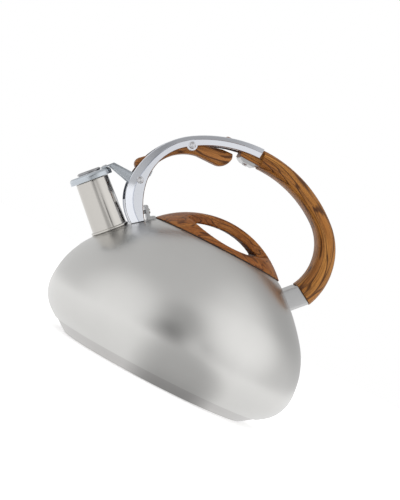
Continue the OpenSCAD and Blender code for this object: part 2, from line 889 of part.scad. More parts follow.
module trigger_bush() {
    color("goldenrod")
    difference() {
        cross_rod(trigger_pin, bush_r, rail_gap - side_gap);
        cross_rod(trigger_pin, trigger_pin_r + run_gap, yoke_w);
    }
}

// A coil round the bush, with a short leg under the yoke's web and a long one in the lever
wire_r = 0.4;
coil_r = bush_r + wire_r + 0.2;
coil_pitch = 1;
coil_turns = 3.5;
short_leg = 2;
long_leg = 6;
spring_slot = 5;
module trigger_spring() {
    steps = 24;
    sides = 8;
    half = coil_turns * coil_pitch / 2;
    path = concat([[-short_leg, -half, coil_r]],
        [for (i = [0 : coil_turns * steps]) let (a = 90 - 360 * i / steps)
            [coil_r * cos(a), coil_pitch * i / steps - half, coil_r * sin(a)]],
        [[-long_leg, half, -coil_r]]);
    last = len(path) - 1;
    rings = [for (i = [0 : last]) let (
        way = path[min(i + 1, last)] - path[max(i - 1, 0)],
        out = cross(way, [0, 1, 0]) / norm(cross(way, [0, 1, 0])))
        [for (k = [0 : sides - 1]) path[i] + wire_r * (cos(360 * k / sides) * out
            + sin(360 * k / sides) * [0, 1, 0])]];
    walls = [for (i = [0 : last - 1], k = [0 : sides - 1])
        [i * sides + k, (i + 1) * sides + k, (i + 1) * sides + (k + 1) % sides, i * sides + (k + 1) % sides]];
    start = [for (k = [0 : sides - 1]) k];
    finish = [for (k = [sides - 1 : -1 : 0]) last * sides + k];
    color("gray")
    translate([trigger_pin[0], 0, trigger_pin[1]])
        polyhedron(points = [for (ring = rings, p = ring) p], faces = concat(walls, [start], [finish]));
}

body_shell();
mouth_ring();
base_pan();
heat_disc();
base_cap();
spout_tube();
spout_collar();
handle_yoke();
tongue_plate();
tongue_screw();
front_bracket();
foot_screw();
grip();
rear_bracket();
bracket_screws();
arm_pin();
trigger_pin();
trigger_spring();
lid_knob();
lid_plate();
lid_gasket();
knob_screws();
cap_cover();
cap_arm();
arm_rivets();
cap_seal();
whistle_cup();
whistle_plate();
whistle_disc();
trigger();
trigger_bush();
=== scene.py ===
import json
import math

import bmesh
import bpy
from mathutils import Matrix, Vector


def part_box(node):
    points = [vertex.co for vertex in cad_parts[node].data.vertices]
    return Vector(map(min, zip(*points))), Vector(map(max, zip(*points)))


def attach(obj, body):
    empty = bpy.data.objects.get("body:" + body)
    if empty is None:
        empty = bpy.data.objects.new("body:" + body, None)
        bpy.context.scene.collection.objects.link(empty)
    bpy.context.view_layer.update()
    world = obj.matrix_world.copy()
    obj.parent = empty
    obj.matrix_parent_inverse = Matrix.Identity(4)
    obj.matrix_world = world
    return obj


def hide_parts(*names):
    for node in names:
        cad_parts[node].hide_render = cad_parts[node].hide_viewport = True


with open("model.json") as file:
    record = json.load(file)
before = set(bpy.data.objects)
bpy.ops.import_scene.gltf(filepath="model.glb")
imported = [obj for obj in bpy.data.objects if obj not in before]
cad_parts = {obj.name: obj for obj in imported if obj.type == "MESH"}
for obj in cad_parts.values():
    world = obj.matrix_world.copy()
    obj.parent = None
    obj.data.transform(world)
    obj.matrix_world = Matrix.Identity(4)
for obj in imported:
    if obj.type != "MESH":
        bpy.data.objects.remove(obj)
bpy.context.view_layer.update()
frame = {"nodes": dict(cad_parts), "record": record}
mm = 0.001
sideways = Vector((0, 1, 0))
upright = Vector((0, 0, 1))
print("frame loaded:", len(frame["nodes"]), "nodes")


# helpers for working in edit mode
def letGo():
    active = bpy.context.object
    if active and active.mode != "OBJECT":
        bpy.ops.object.mode_set(mode="OBJECT")
    bpy.ops.object.select_all(action="DESELECT")


def hold(piece):
    letGo()
    piece.select_set(True)
    bpy.context.view_layer.objects.active = piece


def editing(piece):
    hold(piece)
    bpy.ops.object.mode_set(mode="EDIT")
    return bmesh.from_edit_mesh(piece.data)


def backToObject():
    bpy.ops.object.mode_set(mode="OBJECT")


def applyModifiers(piece):
    hold(piece)
    for modifier in list(piece.modifiers):
        bpy.ops.object.modifier_apply(modifier=modifier.name)


def cleanUp(piece):
    editing(piece)
    bpy.ops.mesh.select_all(action="SELECT")
    bpy.ops.mesh.remove_doubles(threshold=0.000002)
    bpy.ops.mesh.delete_loose(use_verts=True, use_edges=True, use_faces=False)
    bpy.ops.mesh.select_all(action="SELECT")
    bpy.ops.mesh.normals_make_consistent(inside=False)
    bpy.ops.mesh.select_all(action="DESELECT")
    backToObject()


def combine(piece, other, operation):
    # joins or cuts with another solid, which is then thrown away
    modifier = piece.modifiers.new(operation.lower(), "BOOLEAN")
    modifier.operation = operation
    modifier.solver = "EXACT"
    modifier.object = other
    applyModifiers(piece)
    bpy.data.objects.remove(other)


def soften(piece, width, segments=2, angle=30):
    # a small bevel on the edges that turn by more than an angle
    bevel = piece.modifiers.new("soft", "BEVEL")
    bevel.width, bevel.segments, bevel.limit_method = width * mm, segments, "ANGLE"
    bevel.angle_limit = math.radians(angle)
    applyModifiers(piece)


def flatten(piece):
    # puts the piece's place into its mesh
    hold(piece)
    bpy.ops.object.transform_apply(location=True, rotation=True, scale=True)


# outlines, in millimetres
def onArc(centre, radius, angle):
    a = math.radians(angle)
    return Vector((centre[0] + radius * math.cos(a), centre[1] + radius * math.sin(a)))


def arcLine(centre, radius, start, end, count):
    return [onArc(centre, radius, start + (end - start) * i / count) for i in range(count + 1)]


def nextCentre(centre, radius, radius2, angle):
    # the centre of an arc that leaves another one smoothly
    return onArc(centre, radius - radius2, angle)


def rounded(corners, steps=4):
    # each corner is (a, b) or (a, b, radius of its rounding)
    line = []
    for i, corner in enumerate(corners):
        here = Vector(corner[:2])
        radius = corner[2] if len(corner) > 2 else 0
        if not radius:
            line.append(here)
            continue
        before = (Vector(corners[i - 1][:2]) - here).normalized()
        after = (Vector(corners[(i + 1) % len(corners)][:2]) - here).normalized()
        half = before.angle(after) / 2
        middle = here + (before + after).normalized() * radius / math.sin(half)
        first = here + before * radius / math.tan(half) - middle
        last = here + after * radius / math.tan(half) - middle
        for k in range(steps + 1):
            line.append(middle + first.slerp(last, k / steps).normalized() * radius)
    return line


def resample(line, count):
    # the same line with its points at even distances
    reach = [0]
    for a, b in zip(line, line[1:]):
        reach.append(reach[-1] + (b - a).length)
    points, j = [], 0
    for i in range(count + 1):
        want = reach[-1] * i / count
        while j < len(line) - 2 and reach[j + 1] < want:
            j += 1
        share = (want - reach[j]) / max(reach[j + 1] - reach[j], 0.000001)
        points.append(line[j].lerp(line[j + 1], share))
    return points


def flat(point, y=0):
    # from X and Z in millimetres to a place in metres
    return Vector((point[0] * mm, y * mm, point[1] * mm))


def easeIn(value, low, high):
    share = min(max((value - low) / (high - low), 0), 1)
    return share * share * (3 - 2 * share)


# two ways to grow a mesh from an outline
def startRing(name, count):
    # a new piece with one ring of points, open for editing
    letGo()
    bpy.ops.mesh.primitive_circle_add(vertices=count, radius=0.01)
    piece = bpy.context.object
    piece.name = piece.data.name = name
    return piece, editing(piece)


def turnOnAxis(name, profile, foot, axis, side, steps):
    # a closed outline of (radius, height), spun all round an axis
    piece, bm = startRing(name, len(profile))
    bm.verts.ensure_lookup_table()
    for vert, point in zip(bm.verts, profile):
        vert.co = foot + side * (point[0] * mm) + axis * (point[1] * mm)
    bmesh.update_edit_mesh(piece.data)
    bpy.ops.mesh.select_all(action="SELECT")
    bpy.ops.mesh.spin(steps=steps, angle=math.tau, center=foot, axis=axis)
    backToObject()
    cleanUp(piece)
    return piece


def growAlong(name, rings):
    # a ring of points, extruded from each station to the next and closed at both ends
    piece, bm = startRing(name, len(rings[0]))
    place = bm.verts.layers.int.new("place")
    for i, vert in enumerate(bm.verts):
        vert[place] = i
        vert.co = rings[0][i]
    bpy.ops.mesh.select_all(action="SELECT")
    bpy.ops.mesh.edge_face_add()
    for ring in rings[1:]:
        bpy.ops.mesh.extrude_region_move(TRANSFORM_OT_translate={"value": (0, 0, 0)})
        bm = bmesh.from_edit_mesh(piece.data)
        place = bm.verts.layers.int["place"]
        for vert in bm.verts:
            if vert.select:
                vert.co = ring[vert[place]]
        bmesh.update_edit_mesh(piece.data)
    bm.verts.layers.int.remove(place)
    bmesh.update_edit_mesh(piece.data)
    backToObject()
    cleanUp(piece)
    return piece


# the kettle's own lines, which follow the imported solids
bodySizes = {
    "radius": 110.7, "bellyHeight": 35.5, "shoulder": 71, "dome": 180, "domeJoin": 37,
    "low": 30, "lowSlope": 36, "wall": 1, "seam": 8, "mouth": 52, "neckDepth": 9, "rim": 58}
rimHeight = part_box("body_shell")[1].z / mm
shoulderCentre = Vector((bodySizes["radius"] - bodySizes["shoulder"], bodySizes["bellyHeight"]))
domeCentre = nextCentre(shoulderCentre, bodySizes["shoulder"], bodySizes["dome"], bodySizes["domeJoin"])
lowCentre = Vector((bodySizes["radius"] - bodySizes["low"], bodySizes["bellyHeight"]))
lowEnd = bodySizes["lowSlope"] - 90


def domeAngle(radius):
    return math.degrees(math.acos((radius - domeCentre[0]) / bodySizes["dome"]))


def domeHeight(radius):
    return domeCentre[1] + bodySizes["dome"] * math.sin(math.radians(domeAngle(radius)))


def bodyHeight(radius):
    # the height of the dome or of the shoulder below it
    if radius < shoulderCentre[0] + bodySizes["shoulder"] * math.cos(math.radians(bodySizes["domeJoin"])):
        return domeHeight(radius)
    inside = max(bodySizes["shoulder"] ** 2 - (radius - shoulderCentre[0]) ** 2, 0)
    return shoulderCentre[1] + math.sqrt(inside)


def slopeRadius(height, inset):
    point = onArc(lowCentre, bodySizes["low"] - inset, lowEnd)
    return point[0] - (point[1] - height) / math.tan(math.radians(bodySizes["lowSlope"]))


def bodyLine(inset, radius, height, fine):
    # dome, shoulder, low arc and sloping underside
    start = math.degrees(math.acos((radius - domeCentre[0]) / (bodySizes["dome"] - inset)))
    join = bodySizes["domeJoin"]
    return (arcLine(domeCentre, bodySizes["dome"] - inset, start, join, 8 * fine)
            + arcLine(shoulderCentre, bodySizes["shoulder"] - inset, join, 0, 10 * fine)[1:]
            + arcLine(lowCentre, bodySizes["low"] - inset, 0, lowEnd, 6 * fine)[1:]
            + [Vector((slopeRadius(height, inset), height))])


spoutSizes = {"distance": 86, "length": 43, "lip": 13.65, "foot": 14.6, "wall": 1}
spoutAngle = math.radians(domeAngle(spoutSizes["distance"]))
spoutFoot = flat((-spoutSizes["distance"], domeHeight(spoutSizes["distance"])))
spoutAxis = Vector((-math.cos(spoutAngle), 0, math.sin(spoutAngle)))
spoutBack = Vector((math.sin(spoutAngle), 0, math.cos(spoutAngle)))


def bySpout(across, along, y=0):
    return spoutFoot + spoutBack * (across * mm) + spoutAxis * (along * mm) + sideways * (y * mm)


handleSizes = {
    "rise": 91.7, "crown": 115.5, "side": 63.7, "sideTurn": 122.8, "leg": 37.8, "legTurn": 181.8,
    "inner": 98.5, "innerSide": 42.4, "innerTurn": 126.5, "innerLeg": 60, "innerLegTurn": 190,
    "yokeWidth": 24, "rail": 2.6, "yokeEnd": 92.3, "innerEnd": 91.3}
handleHeight = rimHeight + handleSizes["rise"]
halfYoke = handleSizes["yokeWidth"] / 2
betweenRails = halfYoke - handleSizes["rail"]
crownCentre = Vector((0, handleHeight - handleSizes["crown"]))
sideCentre = nextCentre(crownCentre, handleSizes["crown"], handleSizes["side"], handleSizes["sideTurn"])
legCentre = nextCentre(sideCentre, handleSizes["side"], handleSizes["leg"], handleSizes["legTurn"])
innerCentre = Vector((-3.2, handleHeight - 9 - handleSizes["inner"]))
innerSideCentre = nextCentre(innerCentre, handleSizes["inner"], handleSizes["innerSide"],
                             handleSizes["innerTurn"])
innerLegCentre = nextCentre(innerSideCentre, handleSizes["innerSide"], handleSizes["innerLeg"],
                            handleSizes["innerLegTurn"])


def middleOf(node):
    low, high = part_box(node)
    return Vector(((low.x + high.x) / 2 / mm, (low.z + high.z) / 2 / mm))


armPin = middleOf("arm_pin")
triggerPin = middleOf("trigger_pin")


# finishes: shared node groups first, then one material for each slot
def newGroup(name, inputs, outputs):
    group = bpy.data.node_groups.new(name, "ShaderNodeTree")
    for label, kind, value in inputs:
        socket = group.interface.new_socket(label, in_out="INPUT", socket_type=kind)
        if value is not None:
            socket.default_value = value
    for label, kind in outputs:
        group.interface.new_socket(label, in_out="OUTPUT", socket_type=kind)
    return group


def feed(tree, socket, value):
    # links an output to a socket, or sets the socket's own value
    if hasattr(value, "links"):
        tree.links.new(value, socket)
    else:
        socket.default_value = value


def addNode(tree, kind, **values):
    node = tree.nodes.new(kind)
    for label, value in values.items():
        if hasattr(node, label):
            setattr(node, label, value)
        else:
            feed(tree, node.inputs[label], value)
    return node


def mathNode(tree, operation, *values):
    node = addNode(tree, "ShaderNodeMath", operation=operation)
    for socket, value in zip(node.inputs, values):
        feed(tree, socket, value)
    return node.outputs[0]


def weighted(tree, first, share, second, share2):
    return mathNode(tree, "MULTIPLY_ADD", first, share, mathNode(tree, "MULTIPLY", second, share2))


def blendColours(tree, share, first, second):
    node = addNode(tree, "ShaderNodeMix", data_type="RGBA", blend_type="MIX")
    for k, value in ((0, share), (6, first), (7, second)):
        feed(tree, node.inputs[k], value)
    return node.outputs[2]


def noiseNode(tree, place, scale, detail, stretch=None):
    if stretch:
        place = addNode(tree, "ShaderNodeMapping", Vector=place, Scale=stretch).outputs[0]
    return addNode(tree, "ShaderNodeTexNoise", Vector=place, Scale=scale, Detail=detail).outputs["Fac"]


# satin metal: soft clouds of shade, a fine blasted grain and faint handling marks
metalGroup = newGroup(
    "metalGrain",
    [("Place", "NodeSocketVector", None), ("Light", "NodeSocketColor", (0.6, 0.6, 0.6, 1)),
     ("Dark", "NodeSocketColor", (0.5, 0.5, 0.5, 1)), ("Low Roughness", "NodeSocketFloat", 0.2),
     ("High Roughness", "NodeSocketFloat", 0.3)],
    [("Colour", "NodeSocketColor"), ("Roughness", "NodeSocketFloat"), ("Height", "NodeSocketFloat")])
tree = metalGroup
given = tree.nodes.new("NodeGroupInput")
result = tree.nodes.new("NodeGroupOutput")
clouds = noiseNode(tree, given.outputs["Place"], 26, 3)
grain = noiseNode(tree, given.outputs["Place"], 2600, 2)
marks = noiseNode(tree, given.outputs["Place"], 140, 4, (1, 1, 6))
shade = weighted(tree, clouds, 0.75, grain, 0.25)
tree.links.new(blendColours(tree, shade, given.outputs["Light"], given.outputs["Dark"]),
               result.inputs["Colour"])
spread = weighted(tree, clouds, 0.5, marks, 0.5)
reach = mathNode(tree, "SUBTRACT", given.outputs["High Roughness"], given.outputs["Low Roughness"])
tree.links.new(mathNode(tree, "MULTIPLY_ADD", reach, spread, given.outputs["Low Roughness"]),
               result.inputs["Roughness"])
tree.links.new(weighted(tree, grain, 0.6, marks, 0.4), result.inputs["Height"])

# wood: long wandering veins along the first axis of its place, with a fine open grain
woodGroup = newGroup(
    "woodFigure",
    [("Place", "NodeSocketVector", None), ("Light", "NodeSocketColor", (0.5, 0.26, 0.1, 1)),
     ("Middle", "NodeSocketColor", (0.27, 0.11, 0.03, 1)),
     ("Dark", "NodeSocketColor", (0.05, 0.02, 0.006, 1)), ("Wander", "NodeSocketFloat", 1.0)],
    [("Colour", "NodeSocketColor"), ("Roughness", "NodeSocketFloat"), ("Height", "NodeSocketFloat")])
tree = woodGroup
given = tree.nodes.new("NodeGroupInput")
result = tree.nodes.new("NodeGroupOutput")
lay = addNode(tree, "ShaderNodeMapping", Vector=given.outputs["Place"], Scale=(6, 62, 62))
drift = noiseNode(tree, lay.outputs[0], 1.0, 2)
swing = mathNode(tree, "MULTIPLY", mathNode(tree, "SUBTRACT", drift, 0.5), given.outputs["Wander"])
shift = tree.nodes.new("ShaderNodeCombineXYZ")
for axis in (1, 2):
    tree.links.new(mathNode(tree, "MULTIPLY", swing, 3.2), shift.inputs[axis])
moved = addNode(tree, "ShaderNodeVectorMath", operation="ADD")
tree.links.new(lay.outputs[0], moved.inputs[0])
tree.links.new(shift.outputs[0], moved.inputs[1])
bands = addNode(tree, "ShaderNodeTexWave", wave_type="BANDS", bands_direction="DIAGONAL",
                Vector=moved.outputs[0], Scale=1.2, Distortion=2.4, Detail=3.0)
ramp = tree.nodes.new("ShaderNodeValToRGB")
ramp.color_ramp.elements[0].position = 0.02
ramp.color_ramp.elements[0].color = (1, 1, 1, 1)
ramp.color_ramp.elements[1].position = 0.18
ramp.color_ramp.elements[1].color = (0, 0, 0, 1)
tree.links.new(bands.outputs["Fac"], ramp.inputs["Fac"])
pale = noiseNode(tree, moved.outputs[0], 0.9, 3)
paleShare = mathNode(tree, "MULTIPLY", mathNode(tree, "SUBTRACT", pale, 0.42), 3.2)
clamp = mathNode(tree, "MINIMUM", mathNode(tree, "MAXIMUM", paleShare, 0.0), 1.0)
ground = blendColours(tree, clamp, given.outputs["Middle"], given.outputs["Light"])
streaks = noiseNode(tree, given.outputs["Place"], 1.0, 3, (34, 1300, 1300))
pores = noiseNode(tree, given.outputs["Place"], 1.0, 1, (420, 4200, 4200))
fine = weighted(tree, streaks, 0.7, pores, 0.3)
fineShare = mathNode(tree, "MULTIPLY", mathNode(tree, "SUBTRACT", fine, 0.4), 2.8)
fineClamp = mathNode(tree, "MINIMUM", mathNode(tree, "MAXIMUM", fineShare, 0.0), 0.7)
grained = blendColours(tree, fineClamp, ground, given.outputs["Dark"])
veinShare = mathNode(tree, "MULTIPLY", ramp.outputs["Color"], 0.85)
tree.links.new(blendColours(tree, veinShare, grained, given.outputs["Dark"]), result.inputs["Colour"])
tree.links.new(mathNode(tree, "MULTIPLY_ADD", fine, 0.16, 0.36), result.inputs["Roughness"])
tree.links.new(mathNode(tree, "ADD", fine, mathNode(tree, "MULTIPLY", ramp.outputs["Color"], -0.4)),
               result.inputs["Height"])


def finish(name, group, place, values, settings, bump):
    material = bpy.data.materials.new(name)
    material.use_nodes = True
    tree = material.node_tree
    shader = tree.nodes["Principled BSDF"]
    for label, value in settings.items():
        shader.inputs[label].default_value = value
    effect = tree.nodes.new("ShaderNodeGroup")
    effect.node_tree = group
    for label, value in values.items():
        effect.inputs[label].default_value = value
    if place == "object":
        source = tree.nodes.new("ShaderNodeTexCoord").outputs["Object"]
    else:
        attribute = tree.nodes.new("ShaderNodeAttribute")
        attribute.attribute_name = place
        source = attribute.outputs["Vector"]
    tree.links.new(source, effect.inputs["Place"])
    tree.links.new(effect.outputs["Colour"], shader.inputs["Base Color"])
    tree.links.new(effect.outputs["Roughness"], shader.inputs["Roughness"])
    relief = addNode(tree, "ShaderNodeBump", Strength=bump[0], Distance=bump[1] * mm,
                     Height=effect.outputs["Height"])
    tree.links.new(relief.outputs["Normal"], shader.inputs["Normal"])
    return material


def grained(name, light, dark, low, high, bump=(0.1, 0.01), metallic=1.0):
    values = {"Light": (*light, 1), "Dark": (*dark, 1), "Low Roughness": low, "High Roughness": high}
    return finish(name, metalGroup, "object", values, {"Metallic": metallic}, bump)


def wood(name, light, middle, dark, wander):
    values = {"Light": (*light, 1), "Middle": (*middle, 1), "Dark": (*dark, 1), "Wander": wander}
    return finish(name, woodGroup, "figurePlace", values, {"Specular IOR Level": 0.22}, (0.2, 0.05))


finishes = {
    "body_steel": grained("satinSteel", (0.68, 0.675, 0.66), (0.61, 0.605, 0.59), 0.25, 0.34, (0.12, 0.01)),
    "base_steel": grained("baseSteel", (0.6, 0.59, 0.58), (0.5, 0.49, 0.48), 0.26, 0.38),
    "disc_aluminium": grained("rawAluminium", (0.7, 0.7, 0.71), (0.6, 0.6, 0.61), 0.4, 0.52),
    "spout_steel": grained("brightSteel", (0.6, 0.58, 0.55), (0.54, 0.52, 0.49), 0.11, 0.17, (0.05, 0.01)),
    "yoke_chrome": grained("brightChrome", (0.8, 0.82, 0.87), (0.74, 0.76, 0.81), 0.09, 0.15, (0.04, 0.01)),
    "bracket_steel": grained("bracketSteel", (0.58, 0.58, 0.58), (0.48, 0.48, 0.48), 0.26, 0.36),
    "screw_steel": grained("screwSteel", (0.62, 0.62, 0.63), (0.5, 0.5, 0.51), 0.2, 0.34),
    "pin_steel": grained("pinSteel", (0.72, 0.72, 0.74), (0.62, 0.62, 0.64), 0.12, 0.22),
    "bush_brass": grained("bushBrass", (0.7, 0.5, 0.22), (0.58, 0.4, 0.16), 0.24, 0.36),
    "cap_steel": grained("blueGreyChrome", (0.56, 0.6, 0.64), (0.5, 0.54, 0.58), 0.22, 0.32),
    "whistle_grey": grained("whistleSteel", (0.42, 0.42, 0.43), (0.34, 0.34, 0.35), 0.2, 0.32),
    "seal_rubber": grained("blackRubber", (0.03, 0.03, 0.03), (0.012, 0.012, 0.012), 0.45, 0.6,
                           (0.2, 0.02), 0.0),
    "seal_clear": grained("milkySilicone", (0.72, 0.72, 0.7), (0.62, 0.62, 0.6), 0.3, 0.42,
                          (0.2, 0.02), 0.0),
    "grip_wood": wood("gripWood", (0.46, 0.21, 0.045), (0.27, 0.1, 0.018), (0.04, 0.012, 0.003), 1.0),
    "trigger_wood": wood("triggerWood", (0.42, 0.18, 0.05), (0.24, 0.09, 0.02), (0.045, 0.014, 0.004), 1.2),
    "lid_wood": wood("lidWood", (0.44, 0.185, 0.045), (0.25, 0.082, 0.016), (0.045, 0.012, 0.003), 0.9),
}
print("finishes made:", len(finishes))


def settle(piece, body, look, *nodes, slot=None, angle=32):
    # smooth shading up to an angle, then the finish, the solids that it stands for and its body
    hold(piece)
    if angle:
        bpy.ops.object.shade_smooth_by_angle(angle=math.radians(angle))
    else:
        bpy.ops.object.shade_smooth()
    piece.data.materials.clear()
    piece.data.materials.append(finishes[look])
    if nodes:
        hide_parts(*nodes)
    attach(piece, body)
    return piece


# the body and its base
def bodyTurning(name, profile, steps=176):
    return turnOnAxis(name, profile, Vector((0, 0, 0)), upright, Vector((1, 0, 0)), steps)


def buildShell():
    wall, mouth, rim, seam = (bodySizes[k] for k in ("wall", "mouth", "rim", "seam"))
    soft = 0.35
    outside = bodyLine(0, rim, seam, 2)
    inside = bodyLine(wall, rim - wall, seam, 1)
    neckFoot = rimHeight - bodySizes["neckDepth"]
    profile = [Vector((mouth, rimHeight - soft)), Vector((mouth + soft, rimHeight))]
    profile += [Vector((rim - soft * 1.4, rimHeight))] + outside[1:-1]
    profile += [outside[-1] + Vector((soft * 0.7, soft)), outside[-1] + Vector((-soft * 0.6, 0))]
    profile += inside[::-1]
    profile += [Vector((mouth + wall, rimHeight - wall)), Vector((mouth + wall, neckFoot)),
                Vector((mouth, neckFoot))]
    shell = bodyTurning("shell", profile)
    bore = {"radius": 13, "low": -14, "high": 8}
    letGo()
    bpy.ops.mesh.primitive_cylinder_add(
        vertices=72, radius=bore["radius"] * mm, depth=(bore["high"] - bore["low"]) * mm,
        location=bySpout(0, (bore["high"] + bore["low"]) / 2),
        rotation=(0, spoutAngle - math.pi / 2, 0))
    combine(shell, bpy.context.object, "DIFFERENCE")
    settle(shell, "vessel", "body_steel", "body_shell", "mouth_ring", angle=28)


def buildBase():
    gap, sheet = bodySizes["wall"] + 0.05, bodySizes["wall"]
    capSheet, floor = 0.8, 4.8
    lap = lowEnd + 8 / bodySizes["low"] * 180 / math.pi
    pan = [Vector((0, floor)), Vector((slopeRadius(floor, gap), floor))]
    pan += arcLine(lowCentre, bodySizes["low"] - gap, lowEnd, lap, 6)
    pan += arcLine(lowCentre, bodySizes["low"] - gap - sheet, lap, lowEnd, 6)
    pan += [Vector((slopeRadius(floor + sheet, gap + sheet), floor + sheet)), Vector((0, floor + sheet))]
    piece = bodyTurning("pan", pan)
    settle(piece, "vessel", "base_steel", "base_pan")
    # the cap under the base has a rounded edge and two shallow pressed rings
    edge = slopeRadius(0, gap)
    top = slopeRadius(floor, gap)
    cap = rounded([
        (0, 0), (24, 0, 0.6), (25, 0.35, 0.6), (28, 0.35, 0.6), (29, 0, 0.6), (58, 0, 0.6),
        (59, 0.35, 0.6), (62, 0.35, 0.6), (63, 0, 0.6), (edge, 0, 1.2), (top, floor),
        (top - capSheet * 1.2, floor), (edge - capSheet, capSheet, 0.6), (0, capSheet)])
    piece = bodyTurning("baseCap", cap)
    settle(piece, "vessel", "base_steel", "base_cap")


# the spout, its collar and the drawn neck under it
def spoutTurning(name, profile, steps=96):
    return turnOnAxis(name, profile, spoutFoot, spoutAxis, spoutBack, steps)


def buildSpout():
    foot, lip, wall, length = (spoutSizes[k] for k in ("foot", "lip", "wall", "length"))
    throat = foot - 1.65
    tube = rounded([
        (throat, -3), (throat, 0.02), (foot, 0.02, 0.2), (lip, length - 1.6), (lip, length, 0.45),
        (lip - wall, length, 0.45), (lip - wall, length - 1.6), (throat - wall, 0),
        (throat - wall, -3)])
    piece = spoutTurning("spoutTube", tube)
    settle(piece, "vessel", "spout_steel", "spout_tube")
    collar = rounded([
        (foot + 0.05, 0.12), (15.3, 0.12, 0.2), (15.8, 0.5, 0.3), (15.8, 1.5, 0.4), (15.1, 2, 0.3),
        (foot + 0.05, 2, 0.1)])
    piece = spoutTurning("spoutCollar", collar)
    settle(piece, "vessel", "spout_steel", "spout_collar")
    # the drawn neck under the collar runs out on the dome
    neck = rounded([
        (13.05, -1.3), (13.05, -0.05), (15.2, -0.05, 0.2), (16, -0.5, 0.8), (17.6, -1.02, 2),
        (20.2, -1.6), (19.6, -2.05)])
    piece = spoutTurning("spoutNeck", neck)
    settle(piece, "vessel", "body_steel", angle=50)


# the spout's cap and its whistle
def buildCap():
    cap = {"radius": 17.6, "thick": 5.4, "skin": 1.2, "hole": 4, "edge": 2.6}
    low = spoutSizes["length"] + 0.2
    high = low + cap["thick"]
    inner = cap["radius"] - cap["skin"]
    cover = rounded([
        (cap["hole"], high), (cap["radius"], high, cap["edge"]), (cap["radius"], low, 0.5),
        (inner, low, 0.3), (inner, high - cap["skin"], 0.8), (cap["hole"], high - cap["skin"])], 7)
    piece = spoutTurning("capCover", cover)
    settle(piece, "spout_cap", "cap_steel", "cap_cover")
    # the whistle disc: a raised ring round a sunk middle, with a small raised tab at its rear
    disc = {"radius": 10, "tall": 2.5, "ring": 2.4, "sink": 1.1, "hole": 1.6}
    foot = high + 0.05
    profile = rounded([
        (disc["hole"], foot), (disc["radius"] - 0.8, foot), (disc["radius"] - 0.8, foot + 0.8, 0.1),
        (disc["radius"], foot + 0.8, 0.2), (disc["radius"], foot + 1.6, 0.3),
        (disc["radius"] - 1.4, foot + disc["tall"], 0.4),
        (disc["radius"] - disc["ring"], foot + disc["tall"], 0.3),
        (disc["radius"] - disc["ring"] - 0.7, foot + disc["sink"], 0.3),
        (disc["hole"] + 1.2, foot + disc["sink"] + 0.3, 0.4), (disc["hole"], foot + disc["sink"], 0.2)])
    piece = spoutTurning("whistleDisc", profile)
    letGo()
    bpy.ops.mesh.primitive_cube_add(
        size=1, location=bySpout(disc["radius"] - 2.6, disc["tall"] + foot - 1.1),
        rotation=(0, spoutAngle - math.pi / 2, 0), scale=(3.4 * mm, 2.6 * mm, 2.2 * mm))
    tab = bpy.context.object
    flatten(tab)
    soften(tab, 0.35)
    combine(piece, tab, "UNION")
    settle(piece, "spout_cap", "whistle_grey", "whistle_disc")
    # the cup, its plate and the seal under the cap
    cupLow = spoutSizes["length"] - 3.6
    cupTop = high - cap["skin"] - 0.05
    cup = rounded([
        (4, cupLow), (10.2, cupLow, 1), (10.2, cupTop), (9.4, cupTop), (9.4, cupLow + 0.8, 0.4),
        (4, cupLow + 0.8)])
    piece = spoutTurning("whistleCup", cup, 64)
    settle(piece, "spout_cap", "spout_steel", "whistle_cup")
    seal = rounded([
        (10.65, low + 0.02, 0.3), (14.65, low + 0.02, 0.4), (14.65, low + 4.1), (10.65, low + 4.1)])
    piece = spoutTurning("capSeal", seal, 64)
    settle(piece, "spout_cap", "seal_clear", "cap_seal")


# the chromed yoke
def meetDome(centre, radius, start, end):
    # the angle at which an arc comes down to the dome
    for _ in range(40):
        middle = (start + end) / 2
        point = onArc(centre, radius, middle)
        if point[1] > domeHeight(-point[0]):
            start = middle
        else:
            end = middle
    return start


def yokeStations():
    # pairs of points on the yoke's outer and inner lines, from the grip down to the dome
    h = handleSizes
    outerFoot = meetDome(legCentre, h["leg"], h["legTurn"], 250)
    innerFoot = meetDome(innerLegCentre, h["innerLeg"], h["innerLegTurn"], 236)
    zones = [
        (arcLine(crownCentre, h["crown"], h["yokeEnd"], h["sideTurn"], 12),
         arcLine(innerCentre, h["inner"], h["innerEnd"], h["innerTurn"], 12)),
        (arcLine(sideCentre, h["side"], h["sideTurn"], h["legTurn"], 22),
         arcLine(innerSideCentre, h["innerSide"], h["innerTurn"], h["innerLegTurn"], 22)),
        (arcLine(legCentre, h["leg"], h["legTurn"], outerFoot, 16),
         arcLine(innerLegCentre, h["innerLeg"], h["innerLegTurn"], innerFoot, 16))]
    stations = []
    for outer, inner in zones:
        stations += list(zip(outer, inner))[1 if stations else 0:]
    return stations


def railRing(outer, inner, share):
    # one side rail: an outer band that slopes away, a fine groove, and a flat inner band
    slope = {"narrow": 3.7, "wide": 6.4, "shallow": 0.75, "deep": 1.7}
    grow = easeIn(share, 0.3, 0.62)
    width = slope["narrow"] + (slope["wide"] - slope["narrow"]) * grow
    depth = slope["shallow"] + (slope["deep"] - slope["shallow"]) * grow
    groove = 0.2 + 0.35 * grow
    half = 0.3 + 0.15 * grow
    near, far = betweenRails, halfYoke
    thick = (inner - outer).length
    width = min(width, thick * 0.62)
    section = [
        (0.0, near), (0.0, far - depth - 0.5), (0.45, far - depth), (width - half, far - depth * 0.06),
        (width, far - groove - 0.05), (width + half, far), (thick - 0.6, far), (thick, far - 0.6),
        (thick, near)]
    return [flat(outer.lerp(inner, u / thick), y) for u, y in section]


